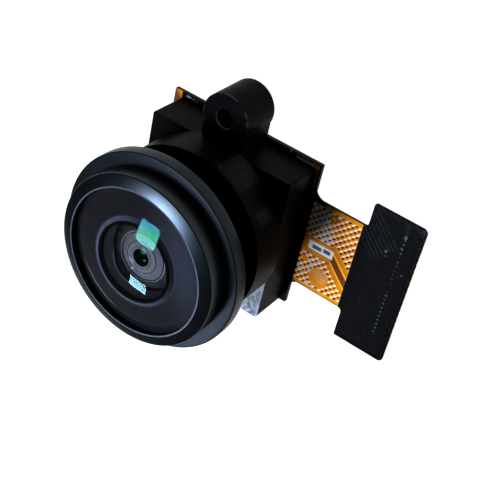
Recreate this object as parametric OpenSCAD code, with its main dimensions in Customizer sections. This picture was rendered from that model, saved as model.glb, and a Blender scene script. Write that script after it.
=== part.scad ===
// Board camera module: an M12 wide-angle lens in a two-ear holder on a flex circuit.
// The optical axis is +Z, the flex tail runs along +X and the ears lie along Y.
// The module lies on its back stiffener, whose rear face is z = 0.

/* [Flex circuit] */
// How far the board's left edge runs past the collar
board_edge = 0.1; // [0:0.05:0.4]
// How far the collar overhangs the board's right edge
board_tuck = 0.1; // [0:0.05:0.2]
// Distance from the optical axis to the board's top edge
board_top = 8.5; // [8.3:0.1:8.6]
// Distance from the optical axis to the board's bottom edge
board_bottom = 7.9; // [7.9:0.1:8.6]
// Thickness of the flex circuit
flex_t = 0.15; // [0.1:0.01:0.2]
// Thickness of the stiffener behind the board
stiffener_t = 0.3; // [0.2:0.05:0.4]
// Length of the narrow tail
tail_l = 6; // [5:0.5:12]
// Width of the narrow tail
tail_w = 10; // [8:0.5:11]
// Length of the contact plate, along the tail
plate_l = 5.5; // [5:0.1:7]
// Width of the contact plate, across the tail
plate_w = 15.9; // [15:0.1:17]
// Number of contact fingers
contacts = 26; // [20:1:28]
// Distance from one contact finger to the next
contact_pitch = 0.5; // [0.4:0.05:0.5]

/* [Lens holder] */
// Side of the holder's square foot
foot_side = 15.8; // [15.6:0.1:16.4]
// Height of the foot
foot_h = 4.2; // [4:0.1:5]
// Diameter of the round collar
collar_d = 17.2; // [16.6:0.1:17.6]
// Height of the collar above the foot
collar_h = 3.85; // [3:0.05:5]
// Side of the square room for the sensor
room_side = 13.2; // [12.6:0.1:13.4]
// Height of the room for the sensor
room_h = 2.9; // [2.6:0.1:3]
// Distance between the two screw holes
ear_spacing = 22; // [21.6:0.1:23]
// Diameter of each ear
ear_d = 4.9; // [4.4:0.1:5.2]
// Diameter of each screw hole
ear_hole_d = 2; // [1.6:0.1:2.2]

/* [Lens barrel] */
// Outer diameter of the barrel's thread
thread_d = 12; // [11.8:0.1:12.2]
// Diameter of the flange
flange_d = 19.4; // [18.8:0.1:20.4]
// Thickness of the flange
flange_t = 1.4; // [1:0.1:2]
// Open gap between the collar and the flange
focus_gap = 3.45; // [3:0.05:5]
// Outer diameter of the front ring
ring_d = 16.9; // [16.8:0.1:17.6]
// Width of the front ring around the front element
ring_edge = 1.05; // [0.95:0.05:1.2]
// How far the front ring laps over the front element
ring_lap = 0.2; // [0.15:0.05:0.35]
// Height of the front ring's straight wall
ring_wall_h = 2; // [2:0.1:3]
// Rise of the front ring's shallow cone
ring_cone_h = 0.35; // [0.2:0.05:0.6]

/* [Lens elements] */
// Radius of the front element's outer surface
front_outer_r = 16; // [15:0.5:18]
// Radius of the front element's hollow
front_inner_r = 5.5; // [5.2:0.1:6]
// Radius of the hollow's mouth
front_mouth_r = 4; // [3.6:0.1:4.2]
// Diameter of the elements behind the front element
element_d = 8.4; // [8:0.1:8.6]
// Diameter of the aperture
aperture_d = 1.9; // [1:0.1:2.4]

/* [Hidden] */
$fn = 72;
e = 0.01;

// Height of a dome of radius r at the distance a from its top, seen from there
function sag(r, a) = r - sqrt(r ^ 2 - a ^ 2);

// Clearances
fit_gap = 0.05;
lens_gap = 0.03;
glue_t = 0.05;
ear_gap = 0.1;

// Levels along the optical axis, from the back
board_z = stiffener_t + flex_t;
holder_z = board_z + glue_t;
foot_top = holder_z + foot_h;
collar_top = foot_top + collar_h;
flange_z = collar_top + focus_gap;
flange_top = flange_z + flange_t;
ring_edge_z = flange_top + ring_wall_h;
ring_top = ring_edge_z + ring_cone_h;

// Holder
corner_r = 0.3;
wall_bore_r = thread_d / 2 + fit_gap;
ear_rise = 0.25;
ear_bottom = board_z + ear_gap;
ear_web_gap = 0.15;
ear_web_w = ear_d - 2 * ear_web_gap;
ear_web_lap = 1;
glue_edge = 0.2;

// Flex outline
board_left = collar_d / 2 + board_edge;
board_right = collar_d / 2 - board_tuck;
tail_y = 0.1;
tail_top_r = 1.2;
tail_low_r = 0.9;
tail_plate_top_r = 0.35;
tail_plate_low_r = 0.5;
plate_corner_r = 0.55;
plate_low_corner_r = 0.45;
plate_ear_r = 0.3;
plate_low_ear_r = 0.15;
plate_y = -0.2;
plate_x = board_right + tail_l;
film_lap = 0.45;
film_t = 0.06;
finger_l = 1.9;
finger_w = 0.3;
finger_t = 0.04;
finger_inset = 0.2;

// Front group of the lens
front_d = ring_d - 2 * ring_edge;
ring_open_d = front_d - 2 * ring_lap;
lip_t = 0.55;
lip_z = ring_top - lip_t;
front_seat_h = 0.9;
front_seat_z = flange_top + front_seat_h;
front_play = 0.04;
ring_wall_t = 0.5;
tube_r = ring_d / 2 - ring_wall_t;
seat_r = front_d / 2 + fit_gap;
tube_top = lip_z - fit_gap;
seal_r = 0.27;
seal_play = 0.01;
seal_edge = 0.7;
seal_mid_r = front_d / 2 - seal_edge;
seal_groove_w = 0.8;
seal_groove_h = 2 * seal_r + seal_play;

// Inner group of the lens, seated from the front down to the barrel's rear lip
element_r = element_d / 2;
bore_r = element_r + fit_gap;
inner_ring_lap = 0.7;
inner_ring_r = element_r + inner_ring_lap;
inner_ring_h = 0.9;
inner_ring_rim = 1;
inner_ring_open_r = 2.9;
inner_ring_gap = 0.4;
inner_ring_z = front_seat_z - inner_ring_gap - inner_ring_h;
step_z = inner_ring_z;
stop_t = 0.15;
lip_w = 0.9;
lip_r = element_r - lip_w;
filter_t = 0.3;
filter_r = 4.5;
filter_gap = 0.5;
filter_lip = 0.3;

second_r = 9;
second_h = 0.95;
second_edge_r = inner_ring_open_r - fit_gap;
second_z = inner_ring_z;
second_apex = second_z + second_h;

stop_z = inner_ring_z - stop_t;

baffle_h = 1.15;
baffle_web = 0.4;
baffle_open_r = 1.7;
baffle_foot_r = 2.9;
baffle_z = stop_z - baffle_h;

third_r = 9;
third_rise = sag(third_r, baffle_foot_r) - lens_gap;
third_h = 1.45;
third_apex = baffle_z + third_rise;
third_z = third_apex - third_h;

doublet_r = 8;
doublet_front_h = 1.9;
doublet_mid_drop = 0.8;
doublet_h = 2.4;
doublet_top = third_z - lens_gap;
doublet_mid_apex = doublet_top - doublet_mid_drop;
doublet_z = doublet_top - doublet_h;

spacer_h = 2.37;
spacer_z = doublet_z - spacer_h;

rear_r = 7;
rear_rise = sag(rear_r, lip_r) - lens_gap;
rear_h = 1.7;
rear_apex = spacer_z + rear_rise;
rear_z = rear_apex - rear_h;

filter_z = rear_z - filter_gap - filter_t;
barrel_z = filter_z - filter_lip;

// Parts on the board, inside the holder
sensor_size = [8.4, 7.6, 0.9];
sensor_glass_size = [7.4, 6.6, 0.4];
capacitor_size = [0.5, 1, 0.5];
capacitor_x = 5.4;
capacitor_spacing = 2.6;
regulator_size = [2.9, 1.6, 0.8];
oscillator_size = [2.5, 2, 0.7];
chip_y = 5.2;

// ---- Shared shapes ----

// Outline between a square corner at the origin and an arc of radius r.
module corner_gusset(r) {
    difference() {
        square(r);
        translate([r, r]) circle(r, $fn = 32);
    }
}

// Gusset in the corner at p, opening toward the signs in side.
module gusset_at(p, r, side) {
    translate(p) mirror([side[0] < 0 ? 1 : 0, 0]) mirror([0, side[1] < 0 ? 1 : 0])
        translate([-e, -e]) corner_gusset(r);
}

// Square plate, centred, with its corners rounded.
module rounded_square(side, r) {
    difference() {
        square(side, center = true);
        for (x = [-1, 1], y = [-1, 1])
            gusset_at([x * side / 2, y * side / 2], r, [-x, -y]);
    }
}

// Ring between two radii, standing on z.
module ring(z, h, outer_r, inner_r) {
    translate([0, 0, z]) difference() {
        cylinder(h = h, r = outer_r);
        translate([0, 0, -e]) cylinder(h = h + 2 * e, r = inner_r);
    }
}

// Lens with a flat back at z and a dome of radius r whose top is at apex.
module dome_lens(z, apex, edge_r, r) {
    rotate_extrude() intersection() {
        translate([0, z]) square([edge_r, apex - z]);
        translate([0, apex - r]) circle(r, $fn = 144);
    }
}

// Chip on the board, centred on p.
module on_board(p, size, z = board_z) {
    translate([p[0] - size[0] / 2, p[1] - size[1] / 2, z]) cube(size);
}

// ---- Flex circuit ----

module board_outline() {
    translate([-board_left, -board_bottom])
        square([board_left + board_right, board_bottom + board_top]);
}

module plate_outline() {
    low = plate_y - plate_w / 2;
    high = plate_y + plate_w / 2;
    difference() {
        translate([plate_x, low]) square([plate_l, plate_w]);
        gusset_at([plate_x, high], plate_ear_r, [1, -1]);
        gusset_at([plate_x + plate_l, high], plate_corner_r, [-1, -1]);
        gusset_at([plate_x + plate_l, low], plate_low_corner_r, [-1, 1]);
        gusset_at([plate_x, low], plate_low_ear_r, [1, 1]);
    }
}

module tail_outline() {
    low = tail_y - tail_w / 2;
    high = tail_y + tail_w / 2;
    translate([board_right - e, low]) square([tail_l + 2 * e, tail_w]);
    gusset_at([board_right, high], tail_top_r, [1, 1]);
    gusset_at([board_right, low], tail_low_r, [1, -1]);
    gusset_at([plate_x, high], tail_plate_top_r, [-1, 1]);
    gusset_at([plate_x, low], tail_plate_low_r, [-1, -1]);
}

module flex_outline() {
    board_outline();
    tail_outline();
    plate_outline();
}

module back_stiffener() {
    color("#1c1c1e") linear_extrude(stiffener_t) board_outline();
}

module flex_board() {
    color("#c8842a") translate([0, 0, stiffener_t]) linear_extrude(flex_t) flex_outline();
}

module plate_stiffener() {
    color("#2b2d33") translate([0, 0, board_z]) linear_extrude(film_t) intersection() {
        flex_outline();
        translate([plate_x - film_lap, -plate_w]) square([plate_l + 2 * film_lap, 2 * plate_w]);
    }
}

module contact_fingers() {
    first = plate_y - (contacts - 1) * contact_pitch / 2;
    color("#d9b45a") for (i = [0 : contacts - 1])
        translate([plate_x + plate_l - finger_inset - finger_l, first + i * contact_pitch - finger_w / 2,
            stiffener_t - finger_t]) cube([finger_l, finger_w, finger_t]);
}

module image_sensor() {
    color("#3a3f45") on_board([0, 0], sensor_size);
}

module sensor_glass() {
    color("#8fb0b8") on_board([0, 0], sensor_glass_size, board_z + sensor_size[2]);
}

module capacitors() {
    color("#a8845a") for (x = [-1, 1], y = [-1 : 1])
        on_board([x * capacitor_x, y * capacitor_spacing], capacitor_size);
}

module regulator() {
    color("#202022") on_board([0, chip_y], regulator_size);
}

module oscillator() {
    color("#b8b8bc") on_board([0, -chip_y], oscillator_size);
}

// ---- Lens holder ----

module holder_glue() {
    color("#d8d4c4") translate([0, 0, board_z]) linear_extrude(glue_t) difference() {
        square(foot_side - 2 * glue_edge, center = true);
        square(room_side + 2 * glue_edge, center = true);
    }
}

module ear(side) {
    translate([0, side * ear_spacing / 2, ear_bottom])
        cylinder(h = foot_top + ear_rise - ear_bottom, d = ear_d, $fn = 48);
    translate([-ear_web_w / 2, side > 0 ? foot_side / 2 - ear_web_lap : -ear_spacing / 2,
        ear_bottom])
        cube([ear_web_w, ear_spacing / 2 - foot_side / 2 + ear_web_lap, foot_top - ear_bottom]);
}

module lens_holder() {
    color("#222226") difference() {
        union() {
            translate([0, 0, holder_z]) linear_extrude(foot_h) rounded_square(foot_side, corner_r);
            translate([0, 0, foot_top - e]) cylinder(h = collar_h + e, d = collar_d);
            ear(1);
            ear(-1);
        }
        translate([-room_side / 2, -room_side / 2, holder_z - e])
            cube([room_side, room_side, room_h + e]);
        cylinder(h = 2 * collar_top, r = wall_bore_r);
        for (side = [-1, 1])
            translate([0, side * ear_spacing / 2, 0])
                cylinder(h = 2 * foot_top, d = ear_hole_d, $fn = 48);
    }
}

// ---- Lens ----

module lens_barrel() {
    edge = 0.12;
    color("#1e1e22") rotate_extrude() polygon([
        [filter_r + fit_gap, barrel_z],
        [thread_d / 2, barrel_z],
        [thread_d / 2, flange_z],
        [flange_d / 2 - edge, flange_z],
        [flange_d / 2, flange_z + edge],
        [flange_d / 2, flange_top - edge],
        [flange_d / 2 - edge, flange_top],
        [tube_r, flange_top],
        [tube_r, tube_top],
        [seat_r, tube_top],
        [seat_r, front_seat_z],
        [seal_mid_r + seal_groove_w / 2, front_seat_z],
        [seal_mid_r + seal_groove_w / 2, front_seat_z - seal_groove_h],
        [seal_mid_r - seal_groove_w / 2, front_seat_z - seal_groove_h],
        [seal_mid_r - seal_groove_w / 2, front_seat_z],
        [inner_ring_r + fit_gap, front_seat_z],
        [inner_ring_r + fit_gap, step_z],
        [bore_r, step_z],
        [bore_r, rear_z],
        [lip_r, rear_z],
        [lip_r, filter_z + filter_t],
        [filter_r + fit_gap, filter_z + filter_t],
    ]);
}

module front_ring() {
    color("#26282e") rotate_extrude() polygon([
        [tube_r + fit_gap, flange_top],
        [ring_d / 2, flange_top],
        [ring_d / 2, ring_edge_z],
        [ring_open_d / 2, ring_top],
        [ring_open_d / 2, lip_z],
        [tube_r + fit_gap, lip_z],
    ]);
}

module front_seal() {
    color("#141414") rotate_extrude() translate([seal_mid_r, front_seat_z - seal_r - e])
        circle(seal_r, $fn = 24);
}

// Deep meniscus with a flat black-inked rim around its hollow.
module front_element() {
    hollow_mid = front_seat_z - sqrt(front_inner_r ^ 2 - front_mouth_r ^ 2);
    dome_mid = lip_z - front_play - sqrt(front_outer_r ^ 2 - (ring_open_d / 2) ^ 2);
    color("#5a6068") rotate_extrude() difference() {
        intersection() {
            translate([0, front_seat_z]) square([front_d / 2, front_outer_r]);
            translate([0, dome_mid]) circle(front_outer_r, $fn = 144);
        }
        translate([0, hollow_mid]) circle(front_inner_r, $fn = 144);
    }
}

module inner_ring() {
    color("#202124") rotate_extrude() polygon([
        [inner_ring_open_r, inner_ring_z],
        [inner_ring_r, inner_ring_z],
        [inner_ring_r, inner_ring_z + inner_ring_h],
        [inner_ring_r - inner_ring_rim, inner_ring_z + inner_ring_h],
        [inner_ring_open_r, inner_ring_z + inner_ring_h / 2],
    ]);
}

module second_element() {
    color("#7c858c") dome_lens(second_z, second_apex, second_edge_r, second_r);
}

module baffle_ring() {
    color("#2a2c30") rotate_extrude() polygon([
        [baffle_foot_r, baffle_z],
        [element_r, baffle_z],
        [element_r, stop_z],
        [baffle_open_r, stop_z],
        [baffle_open_r, stop_z - baffle_web],
        [baffle_foot_r, stop_z - baffle_web],
    ]);
}

module third_element() {
    color("#7c858c") dome_lens(third_z, third_apex, element_r, third_r);
}

module aperture_stop() {
    color("#101012") ring(stop_z, stop_t, element_r, aperture_d / 2);
}

module doublet_front() {
    color("#7c858c") rotate_extrude() difference() {
        translate([0, doublet_top - doublet_front_h]) square([element_r, doublet_front_h]);
        translate([0, doublet_mid_apex - doublet_r]) circle(doublet_r, $fn = 144);
    }
}

module doublet_rear() {
    color("#88929a") dome_lens(doublet_z, doublet_mid_apex, element_r, doublet_r);
}

module spacer_ring() {
    color("#26282c") ring(spacer_z, spacer_h, element_r, lip_r);
}

module rear_element() {
    color("#7c858c") dome_lens(rear_z, rear_apex, element_r, rear_r);
}

module ir_filter() {
    color("#6f9aa8") translate([0, 0, filter_z]) cylinder(h = filter_t, r = filter_r);
}

back_stiffener();
flex_board();
plate_stiffener();
contact_fingers();
holder_glue();
lens_holder();
lens_barrel();
front_ring();
front_seal();
front_element();
inner_ring();
second_element();
baffle_ring();
third_element();
aperture_stop();
doublet_front();
doublet_rear();
spacer_ring();
rear_element();
ir_filter();
image_sensor();
sensor_glass();
capacitors();
regulator();
oscillator();
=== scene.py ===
import math

import bmesh
import bpy
from mathutils import Matrix, Vector, noise


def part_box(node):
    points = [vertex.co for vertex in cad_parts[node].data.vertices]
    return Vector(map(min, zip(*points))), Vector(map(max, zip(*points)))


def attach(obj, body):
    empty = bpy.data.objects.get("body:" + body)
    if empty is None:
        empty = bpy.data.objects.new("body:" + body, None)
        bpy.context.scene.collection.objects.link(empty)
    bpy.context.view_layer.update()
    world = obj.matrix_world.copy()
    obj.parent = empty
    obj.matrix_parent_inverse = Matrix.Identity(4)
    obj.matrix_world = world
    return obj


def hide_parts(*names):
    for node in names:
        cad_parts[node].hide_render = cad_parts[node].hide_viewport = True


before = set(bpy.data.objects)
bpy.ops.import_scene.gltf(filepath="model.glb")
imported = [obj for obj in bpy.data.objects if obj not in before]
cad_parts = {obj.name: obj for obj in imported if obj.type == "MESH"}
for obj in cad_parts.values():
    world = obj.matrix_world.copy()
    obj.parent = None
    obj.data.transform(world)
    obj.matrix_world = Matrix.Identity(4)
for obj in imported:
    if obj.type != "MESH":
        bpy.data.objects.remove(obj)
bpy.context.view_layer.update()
print("frame loaded:", len(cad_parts), "nodes")

# Pieces are modelled in millimetres and scaled to metres when they are finished.
mm = 0.001


def shade(red, green, blue):  # a screen colour, 0 to 255, as a linear one
    return tuple(round((v / 255) ** 2.2, 5) for v in (red, green, blue))


class Wire:  # an output socket, so that shader maths reads as plain maths
    def __init__(self, finish, socket):
        self.finish = finish
        self.socket = socket

    def maths(self, operation, *terms):
        return self.finish.node("ShaderNodeMath", {"operation": operation}, dict(enumerate(terms)))

    def __add__(self, other):
        return self.maths("ADD", self, other)

    def __sub__(self, other):
        return self.maths("SUBTRACT", self, other)

    def __rsub__(self, other):
        return self.maths("SUBTRACT", other, self)

    def __mul__(self, other):
        return self.maths("MULTIPLY", self, other)

    def __truediv__(self, other):
        return self.maths("DIVIDE", self, other)

    __radd__ = __add__
    __rmul__ = __mul__

    def fraction(self):
        return self.maths("FRACT", self)

    def size(self):
        return self.maths("ABSOLUTE", self)

    def most(self, other):
        return self.maths("MAXIMUM", self, other)

    def root(self):
        return self.maths("SQRT", self)

    def sine(self):
        return self.maths("SINE", self)


class Finish:  # a material with its node tree
    def __init__(self, name):
        self.material = bpy.data.materials.new(name)
        self.material.use_nodes = True
        self.tree = self.material.node_tree
        self.tree.nodes.clear()
        spot = self.node("ShaderNodeTexCoord", output="Object")
        self.place = self.node("ShaderNodeVectorMath", {"operation": "SCALE"}, {0: spot, "Scale": 1 / mm})
        self.x = self.node("ShaderNodeSeparateXYZ", {}, {0: self.place})
        self.y = Wire(self, self.x.socket.node.outputs[1])
        self.z = Wire(self, self.x.socket.node.outputs[2])

    def node(self, kind, settings=None, values=None, output=0):
        made = self.tree.nodes.new(kind)
        for key, value in (settings or {}).items():
            setattr(made, key, value)
        for key, value in (values or {}).items():
            socket = made.inputs[key]
            if isinstance(value, Wire):
                self.tree.links.new(value.socket, socket)
            elif socket.type == "RGBA" and len(value) == 3:
                socket.default_value = (*value, 1)
            else:
                socket.default_value = value
        return Wire(self, made.outputs[output])

    def grain(self, scale, detail=3, rough=0.5, squeeze=(1, 1, 1)):  # noise from 0 to 1, scale per millimetre
        spot = self.node("ShaderNodeVectorMath", {"operation": "MULTIPLY"}, {0: self.place, 1: squeeze})
        return self.node("ShaderNodeTexNoise", {},
                         {"Vector": spot, "Scale": scale, "Detail": detail, "Roughness": rough})

    def ramp(self, value, low, high, start=0.0, end=1.0):  # start below low, end above high, smooth between
        return self.node("ShaderNodeMapRange", {"interpolation_type": "SMOOTHSTEP"},
                         {"Value": value, "From Min": low, "From Max": high, "To Min": start, "To Max": end})

    def band(self, value, low, high, soft=0.03):  # 1 between low and high
        return self.ramp(value, low - soft, low + soft) * self.ramp(value, high - soft, high + soft, 1.0, 0.0)

    def patch(self, left, right, low, high, soft=0.03):  # 1 inside a rectangle of the board
        return self.band(self.x, left, right, soft) * self.band(self.y, low, high, soft)

    def disc(self, x, y, radius, soft=0.03):  # 1 inside a circle of the board
        return self.ramp(self.reach(x, y), radius - soft, radius + soft, 1.0, 0.0)

    def reach(self, x=0.0, y=0.0):  # distance from an upright line
        across = self.x - x
        along = self.y - y
        return (across * across + along * along).root()

    def bearing(self):  # degrees round the lens axis, from the tail's side
        return self.y.maths("ARCTAN2", self.y, self.x) * math.degrees(1)

    def blend(self, factor, first, second):
        return self.node("ShaderNodeMix", {"data_type": "RGBA"}, {0: factor, 6: first, 7: second}, output=2)

    def bump(self, height, strength=0.3, depth=0.01):  # depth in millimetres
        return self.node("ShaderNodeBump", {},
                         {"Height": height, "Strength": strength, "Distance": depth * mm})

    def shell(self, **values):  # a Principled shader
        named = {key.replace("_", " "): value for key, value in values.items()}
        return self.node("ShaderNodeBsdfPrincipled", {}, named)

    def done(self, shader):
        end = self.tree.nodes.new("ShaderNodeOutputMaterial")
        self.tree.links.new(shader.socket, end.inputs["Surface"])
        return self.material


holder = {
    "footHalf": 7.9,
    "footTop": 4.7,
    "cornerRadius": 0.3,
    "collarRadius": 8.6,
    "bore": 6.05,            # for the lens barrel
    "roomHalf": 6.6,         # the room for the sensor
    "roomHeight": 2.9,
    "earCentre": 11.0,
    "earRadius": 2.45,
    "earLow": 0.55,
    "earTop": 4.95,
    "earHole": 1.0,
    "drillLow": -1, "drillHigh": 8,      # the tool for the screw holes, well past the ear both ways
    "webHalf": 2.3,          # the web between the foot and an ear
    "webFrom": 6.9,
    "edge": 0.11,            # rounding of the moulded edges
}

plasticLook = {
    "dark": shade(10, 10, 11),
    "light": shade(20, 20, 21),
    # pale tone of the painted highlights on the collar and on the film
    "paleSheen": shade(50, 50, 51),
    "highlightStripe": (54.5, 76.0),          # painted highlights on the collar, in degrees from the tail's side
    "highlightSpot": (30.0, 39.0),
    "highlightSpotHeight": (5.9, 7.6),
    "edge": shade(96, 98, 102),          # the ears' top rims, lighter: wear and a painted edge highlight
    "glareDark": shade(116, 127, 146),    # a painted reflection lies on one corner of the foot
    "glareLight": shade(190, 201, 218),
    "glareBare": shade(46, 56, 76),
    "glareX": 4.4, "glareY": -2.9,
    "glareGap": (7.45, -7.45, 0.3),
}


def mouldedPlastic():
    f = Finish("mouldedPlastic")
    look = plasticLook
    top, collar = holder["footTop"], holder["collarRadius"]
    colour = f.blend(f.grain(0.5, 2), look["dark"], look["light"])

    # a pale painted highlight stripe and a painted lit spot on the collar wall
    turn = f.bearing()
    onCollar = f.band(f.reach(), collar - 0.4, collar + 0.6, 0.05) * f.band(f.z, top + 0.2, top + 3.4, 0.1)
    highlightSpot = f.band(turn, *look["highlightSpot"], 2.0) * f.band(f.z, *look["highlightSpotHeight"], 0.3)
    highlighted = f.band(turn, *look["highlightStripe"], 1.0).most(highlightSpot)
    patchy = f.ramp(f.grain(1.1, 4, 0.6), 0.42, 0.62)
    colour = f.blend(onCollar * highlighted * (0.45 + 0.4 * patchy), colour, look["paleSheen"])

    # the ears' top rims lighter: wear, and a painted edge highlight
    alongEar = f.y.size() - holder["earCentre"]
    fromHole = (f.x * f.x + alongEar * alongEar).root()
    edgeWearAndGlint = f.band(fromHole, holder["earRadius"] - 0.11, holder["earRadius"] + 0.07, 0.05)
    edgeWearAndGlint = edgeWearAndGlint * f.band(f.z, holder["earTop"] - 0.15, holder["earTop"] + 0.05, 0.02)
    colour = f.blend(edgeWearAndGlint * f.ramp(f.grain(1.4, 3), 0.4, 0.6) * 0.5, colour, look["edge"])

    # a painted reflection of a lamp on one corner of the foot's top, mottled, brighter along the foot's edge
    # and beside the collar, with a darker gap
    glarey = f.ramp(f.x, look["glareX"], look["glareX"] + 0.3) * f.ramp(f.y, look["glareY"], look["glareY"] - 0.2)
    glarey = glarey * f.band(f.z, top - 0.06, top + 0.06, 0.02)
    mottle = f.ramp(f.grain(2.4, 5, 0.7), 0.36, 0.64)
    besideCollar = f.ramp(f.reach(), collar + 0.25, collar + 0.45, 1.0, 0.0)
    rimGlint = f.ramp(f.x, holder["footHalf"] - 0.3, holder["footHalf"] - 0.15).most(besideCollar) * 0.7
    glare = f.blend(mottle.most(rimGlint), look["glareDark"], look["glareLight"])
    glareGap = f.disc(*look["glareGap"], 0.4) * (1 - rimGlint) * (1 - 0.6 * mottle)
    colour = f.blend(glarey, colour, f.blend(glareGap, glare, look["glareBare"]))
    return f.done(f.shell(Base_Color=colour, Roughness=0.34 + 0.16 * f.grain(2.5, 3), Specular_IOR_Level=0.07,
                          Normal=f.bump(f.grain(9, 4, 0.6), 0.4, 0.014)))


def holeShadeAndGlint():  # the screw hole's wall, darker than the moulding as painted shade, with a pale band at its top as a painted highlight
    f = Finish("holeShadeAndGlint")
    colour = f.blend(f.grain(3, 2), shade(3, 3, 4), shade(7, 7, 8))
    # a pale band at the top of the wall: painted highlight
    rimGlint = f.ramp(f.z, holder["earTop"] - 0.27, holder["earTop"] - 0.17)
    colour = f.blend(rimGlint, colour, shade(176, 178, 182))
    grooves = (f.z * 18).sine()
    return f.done(f.shell(Base_Color=colour, Roughness=0.7, Specular_IOR_Level=0.06,
                          Normal=f.bump(grooves, 0.4, 0.02)))


ring = {
    "threadRadius": 8.0,     # where it screws on to the barrel
    "outerRadius": 8.45,
    "lapRadius": 7.2,        # where it laps over the glass
    "coneRadius": 7.36,
    "low": 13.4,
    "wallTop": 15.4,
    "lapLow": 15.2,
    "top": 15.74,
}


def anodisedMetal(name, roughness, level, dark, light):  # black anodised turned metal
    f = Finish(name)
    turned = f.grain(6, 2, 0.5, (0.25, 0.25, 8))
    cloud = f.grain(0.4, 3)
    lipGlint = f.band(f.reach(), ring["lapRadius"] - 0.1, ring["coneRadius"] - 0.01, 0.02)
    lipGlint = lipGlint * f.ramp(f.z, ring["top"] - 0.06, ring["top"] - 0.02)  # the ring's lip round the glass, painted lighter as a painted highlight
    colour = f.blend(lipGlint * 0.8, f.blend(cloud, dark, light), shade(84, 92, 104))
    return f.done(f.shell(Base_Color=colour, Roughness=roughness + 0.06 * cloud, Specular_IOR_Level=level,
                          Specular_Tint=(0.74, 0.88, 1.0, 1), Normal=f.bump(turned, 0.08, 0.004)))


def threadMetal():
    f = Finish("threadMetal")
    cloud = f.grain(3, 3)
    colour = f.blend(cloud, shade(8, 8, 10), shade(18, 18, 20))
    return f.done(f.shell(Base_Color=colour, Roughness=0.35 + 0.1 * cloud, Specular_IOR_Level=0.25))


# coatings are (from where, tint of what it throws back), lowest first
def clearGlass(name, ior, body, coatings):
    f = Finish(name)
    hazeAndSheen = f.grain(0.3, 2)
    colour = f.blend(hazeAndSheen, body, tuple(0.97 * v for v in body))

    def coated(tint):
        return f.shell(Base_Color=colour, Roughness=0.0, IOR=ior, Specular_Tint=(*tint, 1),
                       Transmission_Weight=1.0)

    glass = coated(coatings[0][1])
    across = f.y - f.x * 0.1  # the coating's thickness drifts across the glass
    for start, tint in coatings[1:]:
        beyond = f.ramp(across, start - 0.07, start + 0.07)
        glass = f.node("ShaderNodeMixShader", {}, {0: beyond, 1: glass, 2: coated(tint)})
    clear = f.node("ShaderNodeBsdfTransparent", {}, {"Color": body})
    shadow = f.node("ShaderNodeLightPath", output="Is Shadow Ray")
    return f.done(f.node("ShaderNodeMixShader", {}, {0: shadow, 1: glass, 2: clear}))


glass = {
    "domeRadius": 16.0,
    "edge": 7.4,
    "seat": 14.3,
    "rimInner": 5.6,
    "mouth": 4.0,            # of the hollow behind the dome
    "hollowRadius": 5.5,
    "frostFrom": 3.66,       # the ground band just inside the mouth
    "blackFrom": 3.5,
    "secondRadius": 9.0,
    "secondEdge": 2.85,
    "secondLow": 13.02,
}

glassCoatings = {  # bands, each from a place across the glass, with the tint of its reflections
    "dome": ((-9, (0.0, 0.17, 0.13)), (1.5, (0.0, 0.115, 0.07)), (3.6, (0.0, 0.15, 0.068)),
             (4.08, (0.0, 0.12, 0.045)), (4.26, (0.0, 0.15, 0.068)), (4.6, (0.0, 0.105, 0.12))),
    "hollow": ((-9, (0.0, 0.04, 0.025)),),
    "inner": ((-9, (0.09, 0.36, 0.21)),),
    "filter": ((-9, (0.2, 0.1, 0.15)),),
}


def mouthBandAndShade(f):  # the ground band round the hollow's mouth, soft on both sides and fainter to one side as painted shade
    reach = f.reach()
    mouth = glass["mouth"]
    strength = f.ramp(f.x * 0.8 + f.y * 0.45, -1.0, 3.9, 1.0, 0.2)
    inner = f.ramp(reach, mouth - 0.32, mouth - 0.2)
    return inner * f.ramp(reach, mouth - 0.12, mouth + 0.22, 0.85, 0.0) * strength


def rimInk():  # the inked flat rim behind the front element, with faint turning marks
    f = Finish("rimInk")
    cloud = f.grain(0.3, 3)
    reach = f.reach()
    colour = f.blend(cloud, shade(17, 17, 20), shade(21, 22, 26))
    # lighter towards one side: a painted sheen across the ink
    hazeAndSheen = f.ramp(f.x * 0.9 + f.y * 0.42, 1.5, 6.0) * f.ramp(reach, glass["mouth"] - 0.1, 7.0, 1.0, 0.55)
    colour = f.blend(hazeAndSheen * 0.85, colour, shade(54, 59, 70))
    colour = f.blend(mouthBandAndShade(f), colour, shade(92, 100, 112))
    marks = f.ramp(f.grain(1.2, 2, 0.5, (0.2, 0.2, 1)) + 0.18 * (reach * 21).sine(), 0.56, 0.7)
    colour = f.blend(marks * f.band(reach, 5.7, 6.8, 0.25) * 0.5, colour, shade(46, 38, 33))
    return f.done(f.shell(Base_Color=colour, Roughness=0.5 + 0.1 * cloud, Specular_IOR_Level=0.12))


def groundBand():
    f = Finish("groundBand")
    cloud = f.grain(1.5, 3)
    ground = f.blend(cloud, shade(84, 92, 104), shade(100, 108, 120))
    colour = f.blend(mouthBandAndShade(f), shade(10, 11, 13), ground)
    return f.done(f.shell(Base_Color=colour, Roughness=0.5 + 0.1 * cloud, Specular_IOR_Level=0.1))


def ringedBlack(name, dark, light, pitch=0.7):  # turned black parts inside the lens
    f = Finish(name)
    rings = (f.reach() * (2 * math.pi / pitch)).sine()
    cloud = f.grain(2, 2)
    colour = f.blend(0.5 + 0.3 * rings + 0.15 * cloud, dark, light)
    return f.done(f.shell(Base_Color=colour, Roughness=0.42 + 0.1 * cloud, Specular_IOR_Level=0.15))


stopPlate = {
    "hole": 0.95,
    "chamfer": 0.07,
    "stepRadius": 2.12,
    "grooves": ((1.84, 0.05, 0.09), (1.26, 0.03, 0.06)),  # radius, depth and half width of its shade
    "paleTo": 1.76,
}


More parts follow.
